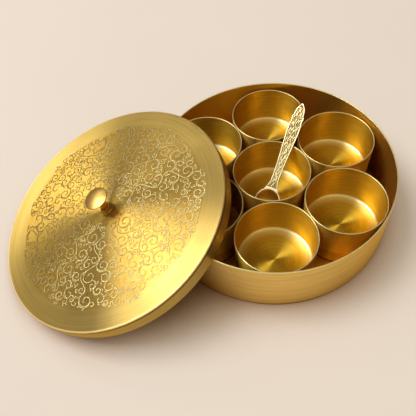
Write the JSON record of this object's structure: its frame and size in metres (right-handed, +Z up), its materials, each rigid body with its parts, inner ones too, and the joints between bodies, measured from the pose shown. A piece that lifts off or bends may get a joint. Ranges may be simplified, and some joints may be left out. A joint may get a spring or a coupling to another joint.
{
  "type": "spice box",
  "caption": "Round brass spice box with loose straight cups inside, a leaning slip-on lid with a dished knob and etched vine scrollwork, and a small carved spoon.",
  "frame": {"origin": "centre of the round box's flat underside, where it rests on the table", "axes": "+Z up along the box's axis, -X towards the lid that leans against the box, so +Y is away from the viewer of the picture"},
  "size_m": [0.3506, 0.2124, 0.0797],
  "materials": {
    "box_brass": "fine brushed, turned around the axis",
    "cup_brass": "lathe-spun, satin, with a pale floor",
    "lid_brass": "brushed around the axis, with etched scrollwork",
    "knob_brass": "turned and polished",
    "collar_brass": "turned and polished",
    "washer_brass": "plain turned",
    "screw_brass": "plain turned",
    "spoon_brass": "cast and satin polished"
  },
  "bodies": {
    "box": {"box_tray": "box_brass"},
    "cup_centre": {"cup_centre": "cup_brass"},
    "cup_back_right": {"cup_back_right": "cup_brass"},
    "cup_back": {"cup_back": "cup_brass"},
    "cup_back_left": {"cup_back_left": "cup_brass"},
    "cup_front_left": {"cup_front_left": "cup_brass"},
    "cup_front": {"cup_front": "cup_brass"},
    "cup_front_right": {"cup_front_right": "cup_brass"},
    "spoon": {"spoon": "spoon_brass"},
    "lid": {"lid_cover": "lid_brass", "lid_knob": "knob_brass", "knob_collar": "collar_brass", "knob_screw": "screw_brass", "knob_washer": "washer_brass"}
  },
  "joints": [
    {"name": "lid_lift", "type": "slide", "parent": "box", "child": "lid", "axis": [0, 0, 1], "range_m": [0, 0.1]},
    {"name": "cup_centre_lift", "type": "slide", "parent": "box", "child": "cup_centre", "axis": [0, 0, 1], "range_m": [0, 0.06]},
    {"name": "cup_back_right_lift", "type": "slide", "parent": "box", "child": "cup_back_right", "axis": [0, 0, 1], "range_m": [0, 0.004]},
    {"name": "cup_back_lift", "type": "slide", "parent": "box", "child": "cup_back", "axis": [0, 0, 1], "range_m": [0, 0.004]},
    {"name": "cup_back_left_lift", "type": "slide", "parent": "box", "child": "cup_back_left", "axis": [0, 0, 1], "range_m": [0, 0.006]},
    {"name": "cup_front_left_lift", "type": "slide", "parent": "box", "child": "cup_front_left", "axis": [0, 0, 1], "range_m": [0, 0.009]},
    {"name": "cup_front_lift", "type": "slide", "parent": "box", "child": "cup_front", "axis": [0, 0, 1], "range_m": [0, 0.06]},
    {"name": "cup_front_right_lift", "type": "slide", "parent": "box", "child": "cup_front_right", "axis": [0, 0, 1], "range_m": [0, 0.06]},
    {"name": "spoon_lift", "type": "slide", "parent": "cup_centre", "child": "spoon", "axis": [0, 0, 1], "range_m": [0, 0.06]}
  ]
}
